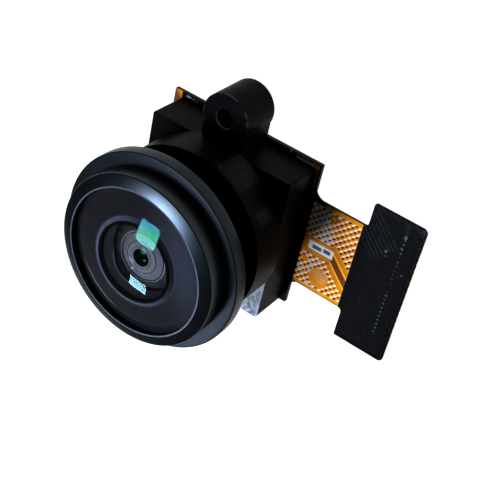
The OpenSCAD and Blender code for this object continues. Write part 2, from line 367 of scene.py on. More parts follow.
def stopDisc():  # the aperture disc: pale rings round the hole, dull blue outside them
    f = Finish("stopDisc")
    reach = f.reach()
    cloud = f.grain(1.5, 2)
    # lighter to one side, darker to the other: painted shade across the disc
    shadeAcrossDisc = f.ramp(f.y * 0.8 - f.x * 0.2, -2.6, 2.6)
    colour = f.blend(shadeAcrossDisc, shade(38, 45, 51), shade(19, 24, 29))
    pale = f.blend(cloud, shade(33, 38, 42), shade(43, 48, 52))
    colour = f.blend(f.band(reach, stopPlate["hole"] + 0.03, stopPlate["paleTo"], 0.06), colour, pale)
    # the grooves painted darker: painted shade in them
    for radius, _, half in reversed(stopPlate["grooves"]):
        colour = f.blend(f.band(reach, radius - half, radius + half, 0.05), colour, shade(20, 24, 29))
    return f.done(f.shell(Base_Color=colour, Roughness=0.4 + 0.1 * cloud, Specular_IOR_Level=0.3))


def sealRubber():
    f = Finish("sealRubber")
    cloud = f.grain(3, 3)
    return f.done(f.shell(Base_Color=f.blend(cloud, shade(14, 14, 14), shade(26, 26, 26)), Roughness=0.75,
                          Normal=f.bump(cloud, 0.2, 0.01)))


def stiffenerBlack():
    f = Finish("stiffenerBlack")
    weave = f.grain(6, 4)
    cloud = f.grain(0.8, 3)
    colour = f.blend(cloud, shade(14, 14, 16), shade(28, 28, 31))
    return f.done(f.shell(Base_Color=colour, Roughness=0.5 + 0.15 * weave, Specular_IOR_Level=0.3,
                          Normal=f.bump(weave, 0.25, 0.01)))


flexLook = {
    "tailLow": -4.9,
    "tailHigh": 5.1,
    "meshPitch": 0.515,       # from one copper line to the next
    "meshLow": -4.5,
    "meshHigh": 4.65,
    "amber": shade(228, 160, 14),
    "deepAmber": shade(190, 120, 6),
    "bright": shade(238, 176, 20),
    "copper": shade(255, 234, 216),
    "hole": shade(44, 16, 6),
    "brown": shade(112, 70, 44),
    "cornerAmber": shade(206, 138, 8),
    "sheen": shade(190, 194, 206),
    "silver": shade(224, 226, 232),
    "window": shade(92, 98, 116),
    "blackBoard": shade(10, 11, 16),
    "channelFrom": 11.75,     # where the slanted traces start
    "channelSlant": (10.45, 13.3),
    "channelLevel": (-0.95, 0.95),
    "clearings": ((11.25, -3.15, 1.1, 0.12), (9.35, -1.75, 0.34), (11.1, 3.95, 0.42)),
    "padRing": (11.1, 3.95, 0.3, 0.42),
    "tin": (11.45, -2.75, 0.75, 0.35),
    "sheenPatchTo": 12.4,
    "sheenPatchSpot": (10.9, 1.75, 0.8, 0.6),
    # traces as (from, to, tone), the slanted ones by x + y and the level ones by y
    "slantTraces": ((11.35, 12.25, "brown"), (12.32, 12.58, "bright"), (11.02, 11.3, "bright"),
                    (12.62, 12.68, "hole"), (12.95, 13.0, "hole"), (10.92, 10.97, "hole"),
                    (10.56, 10.61, "hole")),
    "levelTraces": ((0.84, 0.89, "hole"), (0.58, 0.63, "brown"), (-0.5, -0.45, "hole"),
                    (-0.8, -0.75, "brown")),
    "strip": (9.3, 12.05, -0.42, 0.56),
    "windows": ((9.75, 10.75, -0.2, 0.22), (10.95, 11.72, -0.08, 0.34)),
    "blackBoardTo": 8.68,           # the board under the holder is black up to here
    "bareCorner": (-7.85, 6.9),
    # marks on the board's rim as (left, right, low, high, tone)
    "rimMarks": ((5.7, 7.75, 8.0, 8.2, "silver"), (5.6, 8.3, 8.26, 8.4, "amber"),
                 (7.8, 8.3, 7.9, 8.24, "amber"), (8.12, 8.24, 5.9, 7.9, "deepAmber"),
                 (-7.3, -6.75, 8.16, 8.34, "silver"),
                 (-6.6, -6.3, 8.16, 8.32, "sheen"), (-6.1, -5.9, 8.16, 8.3, "sheen"),
                 (-7.5, -5.6, 8.0, 8.04, "brown")),
    "rimDot": (5.05, 8.36, 0.13),
}


def flexCircuit():
    f = Finish("flexCircuit")
    look = flexLook
    cloud = f.grain(0.9, 3)
    amber = f.blend(cloud, look["amber"], look["deepAmber"])

    # the mesh: pale dashes where the lines cross, a painted glint on the copper; dark dashes in the openings
    # between, set to one side, painted shade
    def meshWay(across):
        return across * (math.sqrt(0.5) / look["meshPitch"])

    def near(way, phase, inner, outer):  # full within inner of this phase, none beyond outer
        return f.ramp(((way + (0.5 - phase)).fraction() - 0.5).size(), inner, outer, 1.0, 0.0)

    rise, fall = meshWay(f.x + f.y), meshWay(f.x - f.y)
    row = near(fall, 0.0, 0.06, 0.26)
    crossingGlint = near(rise, 0.0, 0.14, 0.46) * row
    openingShade = near(rise, 0.62, 0.18, 0.38) * near(fall, 0.38, 0.1, 0.26)
    openingShade = openingShade * (0.75 + 0.25 * f.ramp(cloud, 0.4, 0.55))
    meshed = f.blend(row * 0.25, amber, look["copper"])
    meshed = f.blend(openingShade, meshed, look["hole"])
    meshed = f.blend(crossingGlint, meshed, look["copper"])
    # a whitish-blue painted sheen on the mesh near the holder and in one spot
    sheenPatch = f.ramp(f.x, look["sheenPatchTo"] - 2.2, look["sheenPatchTo"], 0.85, 0.0)
    sheenPatch = sheenPatch * f.ramp(f.grain(1.4, 4, 0.6), 0.45, 0.6)
    sheenPatch = sheenPatch.most(f.disc(*look["sheenPatchSpot"]) * f.ramp(f.grain(3, 4, 0.6), 0.38, 0.56))
    meshed = f.blend(sheenPatch * (1 - openingShade), meshed, look["sheen"])

    # plain amber at the edges, beside the channel and round the pads
    slant = f.x + f.y
    sloping = f.ramp(f.x, look["channelFrom"], look["channelFrom"] + 0.08)
    level = f.ramp(f.x, look["channelFrom"] + 0.1, look["channelFrom"] + 0.3, 1.0, 0.0)
    channel = f.band(slant, *look["channelSlant"], 0.06) * sloping
    channel = channel.most(f.band(f.y, *look["channelLevel"], 0.04) * level)
    plain = (1 - f.band(f.y, look["meshLow"], look["meshHigh"], 0.04)).most(channel)
    for clearing in look["clearings"]:
        plain = plain.most(f.disc(*clearing))
    colour = f.blend(plain, meshed, amber)
    x, y, inner, outer = look["padRing"]
    colour = f.blend(f.band(f.reach(x, y), inner, outer), colour, look["brown"])
    tin = f.ramp(f.grain(7, 5, 0.75), 0.47, 0.62) * f.disc(*look["tin"])
    colour = f.blend(tin * 0.8, colour, look["sheen"])

    for low, high, tone in look["slantTraces"]:
        colour = f.blend(f.band(slant, low, high, 0.025) * sloping, colour, look[tone])
    for low, high, tone in look["levelTraces"]:
        colour = f.blend(f.band(f.y, low, high, 0.025) * level, colour, look[tone])

    # a bare tinned strip with two windows
    colour = f.blend(f.patch(*look["strip"], 0.05), colour, look["silver"])
    for window in look["windows"]:
        colour = f.blend(f.patch(*window, 0.08), colour, look["window"])

    blackBoardTo = look["blackBoardTo"]
    edgeLine = 1 - f.band(f.y, look["tailLow"] + 0.07, look["tailHigh"] - 0.09, 0.03)
    colour = f.blend(edgeLine * f.ramp(f.x, blackBoardTo - 0.08, blackBoardTo + 0.12), colour, look["hole"])

    # the board is black except one bare corner, and the black runs a little way up the tail's root
    cornerX, cornerY = look["bareCorner"]
    atRoot = f.ramp(f.x, blackBoardTo + 1.02, blackBoardTo + 1.62, 1.0, 0.0) * f.ramp(f.y, 4.6, 4.75)
    board = f.ramp(f.x, blackBoardTo - 0.06, blackBoardTo + 0.06, 1.0, 0.0).most(atRoot)
    board = board * (1 - f.ramp(f.x, cornerX - 0.15, cornerX, 1.0, 0.0) * f.ramp(f.y, cornerY, cornerY + 0.1))
    colour = f.blend(board, colour, look["blackBoard"])
    bare = f.ramp(f.x, cornerX - 0.05, cornerX + 0.05, 1.0, 0.0) * f.ramp(f.y, cornerY - 0.1, cornerY + 0.1)
    colour = f.blend(bare, colour, f.blend(f.ramp(slant, -0.6, 0.6), look["brown"], look["cornerAmber"]))
    for *mark, tone in look["rimMarks"]:
        colour = f.blend(f.patch(*mark) * 0.8, colour, look[tone])
    colour = f.blend(f.disc(*look["rimDot"]), colour, look["copper"])
    metal = (1 - openingShade) * (1 - plain) * (1 - board)
    return f.done(f.shell(Base_Color=colour, Roughness=0.4 + 0.1 * cloud, Specular_IOR_Level=0.12,
                          Normal=f.bump(metal, 0.3, 0.012)))


plate = {
    "left": 14.05, "shoulder": 14.5, "right": 20.0,
    "low": -8.15, "high": 7.75,
    "bevel": 0.025,
    "fieldMargin": 0.35,     # from the edge to the raised field
    "fieldSunk": 0.012,      # the field's rim lies this far under the film
    "fieldRise": 0.03, "riseWidth": 0.14,
    "step": 0.06,            # of the relief
    "traces": 8, "traceFrom": 17.95, "traceSpacing": 0.62, "traceRise": 0.022, "traceWidth": 0.085,
    "traceStart": -3.6, "traceEnd": 9.9,
    "dotLine": 18.3, "dotPitch": 0.5, "dotsLow": -6.7, "dotsHigh": 6.3,  # where the fingers press through
    "dotRise": 0.02, "dotWidth": 0.09,
    "creaseRise": 0.007, "creaseWidth": 0.1,
    "corners": {"tail": 0.42, "lowLeft": 0.15, "lowRight": 0.45, "highRight": 0.55, "highLeft": 0.3,
                "root": 0.35},
}

filmLook = {
    "dark": shade(7, 7, 9),
    "light": shade(12, 13, 15),
    "fleck": shade(50, 53, 60),
    "paleSheen": shade(56, 62, 74),
    "dot": shade(112, 118, 130),
    "specks": ((16.9, 3.7, 0.13), (17.0, 3.2, 0.07), (19.05, 2.1, 0.09), (18.25, 6.0, 0.17),
               (18.25, 4.75, 0.12)),
    "smear": (17.95, 18.4, 6.5, 7.5),
}


def plateFilmBlack():
    f = Finish("plateFilmBlack")
    look = filmLook
    speckle = f.grain(5, 4, 0.7)
    colour = f.blend(f.grain(0.5, 3), look["dark"], look["light"])
    colour = f.blend(f.ramp(speckle, 0.54, 0.72) * 0.7, colour, look["fleck"])

    # the traces under the film show as slanted lines, painted lighter as a painted highlight on their ridges
    slant = f.x + f.y
    beat = (((slant - plate["traceFrom"]) / plate["traceSpacing"] + 0.5).fraction() - 0.5).size()
    tracesTo = plate["traceFrom"] + (plate["traces"] - 1) * plate["traceSpacing"] + 0.21
    traceSheen = f.ramp(beat, 0.1, 0.24, 1.0, 0.0) * f.band(slant, plate["traceFrom"] - 0.2, tracesTo, 0.05)
    traceSheen = traceSheen * f.band(f.x - f.y, 7.6, 13.6, 0.4) * f.ramp(f.grain(2.4, 2), 0.3, 0.55)
    colour = f.blend(traceSheen * 0.6, colour, look["fleck"])

    beat = ((f.y / plate["dotPitch"]).fraction() - 0.5).size()
    dots = f.ramp(beat, 0.08, 0.26, 1.0, 0.0)
    dots = dots * f.band(f.x, plate["dotLine"] - 0.08, plate["dotLine"] + 0.08, 0.05)
    dots = dots * f.band(f.y, plate["dotsLow"], plate["dotsHigh"], 0.05) * f.ramp(f.grain(1.1, 2), 0.36, 0.58)
    for speck in look["specks"]:
        dots = dots.most(f.disc(*speck, 0.05))
    colour = f.blend(dots * 0.6, colour, look["dot"])

    # the film is lighter along two edges, a painted highlight where the raised field's edge catches the light,
    # and lighter towards one corner
    rim = f.band(f.y, plate["high"] - 0.33, plate["high"] - 0.17, 0.05)
    rim = rim.most(f.band(f.x, plate["right"] - 0.32, plate["right"] - 0.16, 0.05))
    colour = f.blend(rim * f.ramp(f.grain(1.2, 3), 0.3, 0.6) * 0.25, colour, look["paleSheen"])
    corner = f.ramp(slant, plate["right"] + plate["high"] - 1.65, plate["right"] + plate["high"] - 0.75)
    corner = corner * f.ramp(f.grain(2, 3), 0.35, 0.6)
    colour = f.blend(corner.most(f.patch(*look["smear"], 0.2) * 0.4) * 0.7, colour, look["paleSheen"])
    return f.done(f.shell(Base_Color=colour, Roughness=0.5 + 0.2 * speckle, Specular_IOR_Level=0.14,
                          Normal=f.bump(speckle, 0.5, 0.02)))


def goldPlate():
    f = Finish("goldPlate")
    cloud = f.grain(4, 3)
    colour = f.blend(cloud, shade(226, 180, 84), shade(240, 206, 120))
    return f.done(f.shell(Base_Color=colour, Metallic=1.0, Roughness=0.28 + 0.12 * cloud,
                          Normal=f.bump(cloud, 0.15, 0.006)))


def plainFinish(name, dark, light, roughness=0.5, scale=4, level=0.4, metallic=0.0):
    f = Finish(name)
    cloud = f.grain(scale, 3)
    return f.done(f.shell(Base_Color=f.blend(cloud, dark, light), Roughness=roughness + 0.1 * cloud,
                          Specular_IOR_Level=level, Metallic=metallic, Normal=f.bump(cloud, 0.2, 0.01)))


finishes = {
    "holder": mouldedPlastic(),
    "hole": holeShadeAndGlint(),
    "barrel": anodisedMetal("barrelAnodised", 0.34, 0.45, shade(9, 9, 11), shade(15, 16, 19)),
    "ring": anodisedMetal("ringAnodised", 0.26, 0.7, shade(6, 7, 9), shade(10, 11, 14)),
    "thread": threadMetal(),
    "frontGlass": clearGlass("frontGlassCoated", 1.75, (0.93, 0.93, 0.96), glassCoatings["dome"]),
    "hollowGlass": clearGlass("hollowGlassCoated", 1.75, (0.97, 0.97, 0.98), glassCoatings["hollow"]),
    "lensGlass": clearGlass("lensGlassCoated", 1.6, (0.96, 0.97, 0.97), glassCoatings["inner"]),
    "filterGlass": clearGlass("filterGlassTinted", 1.5, (0.75, 0.9, 0.9), glassCoatings["filter"]),
    "ink": rimInk(),
    "frost": groundBand(),
    # the lens cell's lip, painted lighter as a painted highlight on its edge
    "lip": plainFinish("cellLipHighlight", shade(60, 66, 76), shade(84, 90, 102), 0.3, 2, 0.5),
    "black": plainFinish("matBlack", shade(6, 6, 8), shade(12, 12, 14), 0.6, 3, 0.2),
    "cell": ringedBlack("cellBlack", shade(13, 14, 17), shade(21, 23, 27)),
    "innerBlack": ringedBlack("innerBlack", shade(10, 11, 13), shade(24, 26, 30)),
    "stop": stopDisc(),
    "seal": sealRubber(),
    "stiffener": stiffenerBlack(),
    "flex": flexCircuit(),
    "film": plateFilmBlack(),
    "gold": goldPlate(),
    "glue": plainFinish("clearGlue", shade(120, 116, 104), shade(160, 154, 140), 0.3, 2),
    "sensor": plainFinish("sensorPackage", shade(44, 52, 60), shade(80, 92, 104), 0.25, 3),
    "ceramic": plainFinish("chipCeramic", shade(150, 118, 80), shade(184, 150, 110), 0.5, 5),
    "chip": plainFinish("chipPlastic", shade(22, 22, 24), shade(38, 38, 40), 0.55, 6),
    "can": plainFinish("canMetal", shade(170, 170, 174), shade(206, 206, 210), 0.3, 4, 0.5, 1.0),
}
print("finishes made:", len(finishes))


def meshObject(name, work, materials, smoothAngle=32):  # a bmesh in millimetres becomes a finished piece
    bmesh.ops.recalc_face_normals(work, faces=work.faces)
    mesh = bpy.data.meshes.new(name)
    work.to_mesh(mesh)
    work.free()
    mesh.transform(Matrix.Scale(mm, 4))
    piece = bpy.data.objects.new(name, mesh)
    bpy.context.scene.collection.objects.link(piece)
    for material in materials:
        mesh.materials.append(finishes[material])
    mesh.shade_smooth()
    mesh.set_sharp_from_angle(angle=math.radians(smoothAngle))
    return piece


def weigh(piece):  # flat faces keep flat shading beside their rounded edges
    even = piece.modifiers.new("even", "WEIGHTED_NORMAL")
    even.keep_sharp = True
    even.weight = 60


def arcCorners(points, steps=4):  # (r, z, rounding) points become an outline with rounded corners
    outline = []
    count = len(points)
    for i, point in enumerate(points):
        here = Vector(point[:2])
        radius = point[2] if len(point) > 2 else 0
        if radius <= 0:
            outline.append(here)
            continue
        before = (Vector(points[i - 1][:2]) - here).normalized()
        after = (Vector(points[(i + 1) % count][:2]) - here).normalized()
        half = before.angle(after) / 2
        reach = radius / math.tan(half)
        centre = here + (before + after).normalized() * (radius / math.sin(half))
        start = here + before * reach - centre
        turn = here + after * reach - centre
        sweep = start.angle_signed(turn)
        for step in range(steps + 1):
            outline.append(centre + Matrix.Rotation(-sweep * step / steps, 2) @ start)
    return outline


def lathe(name, points, materials, segments=160, choose=None, smoothAngle=32, steps=4, domed=False):
    outline = arcCorners(points, steps)
    work = bmesh.new()
    loops = []
    for r, z in outline:
        if r < 1e-6:
            loops.append([work.verts.new((0, 0, z))])
        else:
            loops.append([work.verts.new((r * math.cos(a), r * math.sin(a), z))
                          for a in (2 * math.pi * i / segments for i in range(segments))])
    for index, loop in enumerate(loops):
        following = loops[(index + 1) % len(loops)]
        if len(loop) == 1 and len(following) == 1:
            continue
        for i in range(segments):
            j = (i + 1) % segments
            corners = (loop[i % len(loop)], loop[j % len(loop)],
                       following[j % len(following)], following[i % len(following)])
            face = work.faces.new(list(dict.fromkeys(corners)))
            if choose:
                face.material_index = choose(face.calc_center_median())
    piece = meshObject(name, work, materials, smoothAngle)
    if not domed:
        weigh(piece)
    return piece


def prism(outline, low, high):  # an upright solid between two heights
    work = bmesh.new()
    floor = [work.verts.new((x, y, low)) for x, y in outline]
    top = [work.verts.new((x, y, high)) for x, y in outline]
    work.faces.new(list(reversed(floor)))
    work.faces.new(top)
    count = len(outline)
    for i in range(count):
        work.faces.new([floor[i], floor[(i + 1) % count], top[(i + 1) % count], top[i]])
    mesh = bpy.data.meshes.new("block")
    work.to_mesh(mesh)
    work.free()
    block = bpy.data.objects.new("block", mesh)
    bpy.context.scene.collection.objects.link(block)
    return block


def circleOutline(x, y, radius, segments=96):
    return [(x + radius * math.cos(a), y + radius * math.sin(a))
            for a in (2 * math.pi * i / segments for i in range(segments))]


def roundedOutline(left, right, low, high, radius, steps=6):
    corners = [(right - radius, high - radius, 0), (left + radius, high - radius, 90),
               (left + radius, low + radius, 180), (right - radius, low + radius, 270)]
    return [(x + radius * math.cos(math.radians(start + 90 * k / steps)),
             y + radius * math.sin(math.radians(start + 90 * k / steps)))
            for x, y, start in corners for k in range(steps + 1)]


def cut(base, tool, operation):
    change = base.modifiers.new("cut", "BOOLEAN")
    change.operation = operation
    change.solver = "EXACT"
    change.object = tool
    settle(base)
    bpy.data.objects.remove(tool)


def settle(piece):  # applies the modifiers
    bpy.context.view_layer.update()
    ready = piece.evaluated_get(bpy.context.evaluated_depsgraph_get())
    mesh = bpy.data.meshes.new_from_object(ready)
    piece.modifiers.clear()
    piece.data = mesh


def boxOf(node):  # the CAD node's box in millimetres
    low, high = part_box(node)
    return Vector(low) / mm, Vector(high) / mm


def dress(node, finish):
    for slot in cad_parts[node].material_slots:
        slot.material = finishes[finish]


def makeHolder():
    h = holder
    low, high = boxOf("lens_holder")
    side, web, room = h["footHalf"], h["webHalf"], h["roomHalf"]
    foot = prism(roundedOutline(-side, side, -side, side, h["cornerRadius"]), low.z, h["footTop"])
    collar = prism(circleOutline(0, 0, h["collarRadius"], 144), h["footTop"] - 0.02, high.z)
    cut(foot, collar, "UNION")
    for way in (1, -1):
        ear = prism(circleOutline(0, way * h["earCentre"], h["earRadius"], 64), h["earLow"], h["earTop"])
        cut(foot, ear, "UNION")
        strip = [(-web, h["webFrom"]), (web, h["webFrom"]), (web, h["earCentre"]), (-web, h["earCentre"])]
        cut(foot, prism([(x, way * y) for x, y in strip][::way], h["earLow"], h["footTop"]), "UNION")
    square = [(-room, -room), (room, -room), (room, room), (-room, room)]
    cut(foot, prism(square, low.z - 1, low.z + h["roomHeight"]), "DIFFERENCE")
    cut(foot, prism(circleOutline(0, 0, h["bore"], 128), low.z - 1, high.z + 1), "DIFFERENCE")
    for way in (1, -1):
        hole = circleOutline(0, way * h["earCentre"], h["earHole"], 48)
        cut(foot, prism(hole, h["drillLow"], h["drillHigh"]), "DIFFERENCE")
    work = bmesh.new()
    work.from_mesh(foot.data)
    bmesh.ops.remove_doubles(work, verts=work.verts, dist=0.002)
    bmesh.ops.dissolve_limit(work, angle_limit=math.radians(1), verts=work.verts, edges=work.edges)
    work.to_mesh(foot.data)
    work.free()
    soft = foot.modifiers.new("soft", "BEVEL")
    soft.width = h["edge"]
    soft.segments = 3
    soft.limit_method = "ANGLE"
    soft.angle_limit = math.radians(40)
    soft.use_clamp_overlap = True
    settle(foot)
    work = bmesh.new()
    work.from_mesh(foot.data)
    bpy.data.objects.remove(foot)

    def inHole(corner):
        return math.hypot(corner.co.x, abs(corner.co.y) - h["earCentre"]) < h["earHole"] + 0.02

    for face in work.faces:  # the walls of the screw holes
        face.material_index = 1 if all(inHole(corner) for corner in face.verts) else 0
    piece = meshObject("holderShell", work, ["holder", "hole"], 38)
    weigh(piece)
    return piece


holderShell = makeHolder()
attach(holderShell, "root")
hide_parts("lens_holder")
print("lens holder made:", len(holderShell.data.polygons), "faces")


barrel = {
    "threadRadius": 6.0,
    "threadRoot": 5.72,
    "threadPitch": 0.5,
    "flangeRadius": 9.7,
    "flangeLow": 12.0,
    "flangeTop": 13.4,
    "edge": 0.12,
    "low": 3.9, "rearBore": 4.55, "rearTop": 4.5, "rearShoulder": 3.3,
    "bore": 4.25, "boreLow": 5.0,              # for the inner group
    "pocket": 4.95, "pocketLow": 13.0,         # for the inner ring
    "grooveInner": 6.3, "grooveOuter": 7.1, "grooveLow": 13.75,    # for the seal
    "seatOuter": 7.45, "seatTop": 14.27,       # for the front element
    "spigot": 7.95, "spigotTop": 15.15,
    "threadLow": 4.2, "threadHigh": 11.65,
    "turnSteps": 96, "fadeSteps": 40,          # of the thread
    "ridgeHalf": 0.22, "crestHalf": 0.0352,
}


def makeBarrel():
    b = barrel
    e = b["edge"]
    outline = [
        (b["rearBore"], b["low"]), (b["threadRoot"], b["low"]), (b["threadRoot"], b["flangeLow"], 0.1),
        (b["flangeRadius"], b["flangeLow"], e), (b["flangeRadius"], b["flangeTop"], e),
        (b["spigot"], b["flangeTop"]), (b["spigot"], b["spigotTop"]), (b["seatOuter"], b["spigotTop"]),
        (b["seatOuter"], b["seatTop"]), (b["grooveOuter"], b["seatTop"]), (b["grooveOuter"], b["grooveLow"]),
        (b["grooveInner"], b["grooveLow"]), (b["grooveInner"], b["seatTop"]), (b["pocket"], b["seatTop"]),
        (b["pocket"], b["pocketLow"]), (b["bore"], b["pocketLow"]), (b["bore"], b["boreLow"]),
        (b["rearShoulder"], b["boreLow"]), (b["rearShoulder"], b["rearTop"]), (b["rearBore"], b["rearTop"])]
    return lathe("lensBarrel", outline, ["barrel"], 192)


def makeThread():  # one ridge wound round the neck
    b = barrel
    work = bmesh.new()
    steps = int((b["threadHigh"] - b["threadLow"]) / b["threadPitch"] * b["turnSteps"])
    half, crestHalf = b["ridgeHalf"], b["crestHalf"]
    root = b["threadRoot"] - 0.04
    previous = None
    for i in range(steps + 1):
        angle = 2 * math.pi * i / b["turnSteps"]
        z = b["threadLow"] + b["threadPitch"] * i / b["turnSteps"]
        fade = min(1, i / b["fadeSteps"], (steps - i) / b["fadeSteps"])  # the ridge runs out at both ends
        crest = b["threadRoot"] - 0.01 + (b["threadRadius"] - b["threadRoot"]) * fade
        section = ((root, z - half), (crest, z - crestHalf), (crest, z + crestHalf), (root, z + half))
        current = [work.verts.new((r * math.cos(angle), r * math.sin(angle), h)) for r, h in section]
        if previous:
            for k in range(4):
                work.faces.new([previous[k], previous[(k + 1) % 4], current[(k + 1) % 4], current[k]])
        else:
            work.faces.new(current)
        previous = current
    work.faces.new(list(reversed(previous)))
    return meshObject("threadRidge", work, ["thread"], 30)


def makeFrontRing():
    g = ring
    outline = [
        (g["threadRadius"], g["low"]), (g["outerRadius"], g["low"], 0.04),
        (g["outerRadius"], g["wallTop"], 0.14), (g["coneRadius"], g["top"], 0.03),
        (g["lapRadius"], g["top"], 0.02), (g["lapRadius"], g["lapLow"], 0.03), (g["threadRadius"], g["lapLow"])]
    return lathe("frontRing", outline, ["ring"], 192, steps=5)


lensBarrel = makeBarrel()
threadRidge = makeThread()
frontRing = makeFrontRing()
for piece, slot in ((lensBarrel, "barrel_metal"), (threadRidge, "barrel_metal"), (frontRing, "ring_metal")):
    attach(piece, "root")
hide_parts("lens_barrel")
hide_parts("front_ring")
print("barrel, thread and ring made")


def capOutline(radius, apex, reaches):  # points along a spherical cap at these distances from its axis
    return [(r, apex - radius + math.sqrt(radius * radius - r * r)) for r in reaches]


def evenReaches(edge, steps):
    return [edge * (1 - i / steps) for i in range(steps + 1)]


def makeFrontGlass():
    g = glass
    apex = boxOf("front_element")[1].z
    dome = capOutline(g["domeRadius"], apex, evenReaches(g["edge"], 40))
    hollowTop = g["seat"] + g["hollowRadius"] - math.sqrt(g["hollowRadius"] ** 2 - g["mouth"] ** 2)
    bands = [g["mouth"], (g["mouth"] + g["frostFrom"]) / 2,
             g["frostFrom"], (g["frostFrom"] + g["blackFrom"]) / 2]
    hollow = capOutline(g["hollowRadius"], hollowTop, bands + evenReaches(g["blackFrom"], 26))
    outline = [(g["edge"], g["seat"]), *dome, *reversed(hollow), (g["rimInner"], g["seat"])]
    slots = ["frontGlass", "ink", "frost", "black", "hollowGlass"]

    def surface(centre):
        r = math.hypot(centre.x, centre.y)
        if r > g["edge"] - 0.02 and centre.z < dome[0][1] - 0.0001:
            return "black"
        if abs(centre.z - g["seat"]) < 0.02 and r > g["mouth"]:
            return "ink"
        if r < g["mouth"] and centre.z < hollowTop + 0.01:
            return "frost" if r > g["frostFrom"] else "black" if r > g["blackFrom"] else "hollowGlass"
        return "frontGlass"

    return lathe("frontGlass", outline, slots, 256,
                 lambda centre: slots.index(surface(centre)), 24, domed=True)


def makeSecondGlass():
    g = glass
    apex = boxOf("second_element")[1].z
    dome = capOutline(g["secondRadius"], apex, evenReaches(g["secondEdge"] - 0.06, 24))
    edge, edgeTop = g["secondEdge"], dome[0][1] - 0.05
    outline = [(0, g["secondLow"]), (edge, g["secondLow"]), (edge, edgeTop), *dome[:-1], (0, apex)]
    return lathe("secondGlass", outline, ["lensGlass", "cell"], 192,
                 lambda centre: 1 if math.hypot(centre.x, centre.y) > edge - 0.06 else 0, 24, domed=True)


cell = {  # the ring that holds the inner group
    "bore": 2.9,
    "lipRadius": 3.0,
    "lipHeight": 0.5,
    "coneRadius": 3.9,
}


def makeLensCell():
    low, high = boxOf("inner_ring")
    bore, lipRadius, lip = cell["bore"], cell["lipRadius"], low.z + cell["lipHeight"]
    outline = [(bore, low.z), (high.x, low.z), (high.x, high.z, 0.05), (cell["coneRadius"], high.z, 0.08),
               (lipRadius, lip), (bore, lip)]

    def choose(centre):
        return 1 if centre.z > lip - 0.01 and math.hypot(centre.x, centre.y) < lipRadius else 0

    return lathe("lensCell", outline, ["cell", "lip"], 160, choose)


def makeStopDisc():
    low, high = boxOf("aperture_stop")
    hole, top = stopPlate["hole"], high.z
    outline = [(hole, low.z), (high.x, low.z), (high.x, top), (stopPlate["stepRadius"], top)]
    for radius, depth, _ in stopPlate["grooves"]:
        outline += [(radius + 0.05, top), (radius + 0.02, top - depth),
                    (radius - 0.02, top - depth), (radius - 0.05, top)]
    outline += [(hole + stopPlate["chamfer"], top), (hole, top - 0.05)]
    return lathe("stopPlate", outline, ["stop"], 128)


for made, node, slot in (
    (makeFrontGlass(), "front_element", "front_glass"), (makeSecondGlass(), "second_element", None),
    (makeLensCell(), "inner_ring", None), (makeStopDisc(), "aperture_stop", None),
):
    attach(made, "root")
    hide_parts(node)
print("lens pieces made")


def makePlateFilm():
    p = plate
    rounding = p["corners"]
    low, high = boxOf("plate_stiffener")
    tailLow, tailHigh = flexLook["tailLow"], flexLook["tailHigh"]
    outline = arcCorners([
        (p["left"], tailLow), (p["shoulder"], tailLow, rounding["tail"]),
        (p["shoulder"], p["low"], rounding["lowLeft"]), (p["right"], p["low"], rounding["lowRight"]),
        (p["right"], p["high"], rounding["highRight"]), (p["shoulder"], p["high"], rounding["highLeft"]),
        (p["shoulder"], tailHigh, rounding["root"]), (p["left"], tailHigh)])
    block = prism([tuple(point) for point in outline], low.z, high.z)
    soft = block.modifiers.new("soft", "BEVEL")
    soft.width = p["bevel"]
    soft.segments = 2
    soft.limit_method = "ANGLE"
    soft.angle_limit = math.radians(40)
    settle(block)
    work = bmesh.new()
    work.from_mesh(block.data)
    bpy.data.objects.remove(block)
    return meshObject("plateFilm", work, ["film"], 40)


def clamp(value):  # held between 0 and 1
    return max(0.0, min(1.0, value))


def bell(away):
    return math.exp(-away ** 2)


def reliefHeight(x, y, field):  # how far the film stands over what lies under it
    p = plate
    left, right, low, high = field
    inside = min(x - left, right - x, y - low, high - y)
    rise = clamp(inside / p["riseWidth"])
    height = p["fieldRise"] * rise * rise * (3 - 2 * rise) - p["fieldSunk"]
    slant = (x + y - p["traceFrom"]) / p["traceSpacing"]
    nearest = round(slant)
    if 0 <= nearest < p["traces"]:
        across = abs(slant - nearest) * p["traceSpacing"] / math.sqrt(2)
        along = (x - y) / math.sqrt(2)
        starting = clamp((along - p["traceStart"]) / 0.5)
        ending = clamp((p["traceEnd"] - along - 0.2 * nearest) / 0.8)
        height += p["traceRise"] * starting * ending * bell(across / p["traceWidth"])
    if p["dotsLow"] < y < p["dotsHigh"]:
        alongLine = abs((y / p["dotPitch"]) % 1 - 0.5) * p["dotPitch"]
        height += p["dotRise"] * bell(math.hypot(x - p["dotLine"], alongLine) / p["dotWidth"])
    height += p["creaseRise"] * bell((x - left - 0.5 - 0.04 * y) / p["creaseWidth"])
    height += 0.004 * rise * noise.noise(Vector((x * 0.9, y * 0.9, 3.0)))
    return height + 0.0025 * rise * noise.noise(Vector((x * 4, y * 4, 8.0)))


def makePlateRelief():
    p = plate
    top = boxOf("plate_stiffener")[1].z
    margin = p["fieldMargin"]
    field = (p["shoulder"] + 0.12, p["right"] - margin, p["low"] + margin, p["high"] - margin)
    left, right, low, high = field
    across = int((right - left + 2 * p["step"]) / p["step"])
    along = int((high - low + 2 * p["step"]) / p["step"])
    work = bmesh.new()
    grid = []
    for i in range(across + 1):
        x = left - p["step"] + i * p["step"]
        grid.append([])
        for j in range(along + 1):
            y = low - p["step"] + j * p["step"]
            grid[-1].append(work.verts.new((x, y, top + reliefHeight(x, y, field))))
    for i in range(across):
        for j in range(along):
            work.faces.new([grid[i][j], grid[i + 1][j], grid[i + 1][j + 1], grid[i][j + 1]])
    return meshObject("plateRelief", work, ["film"], 80)


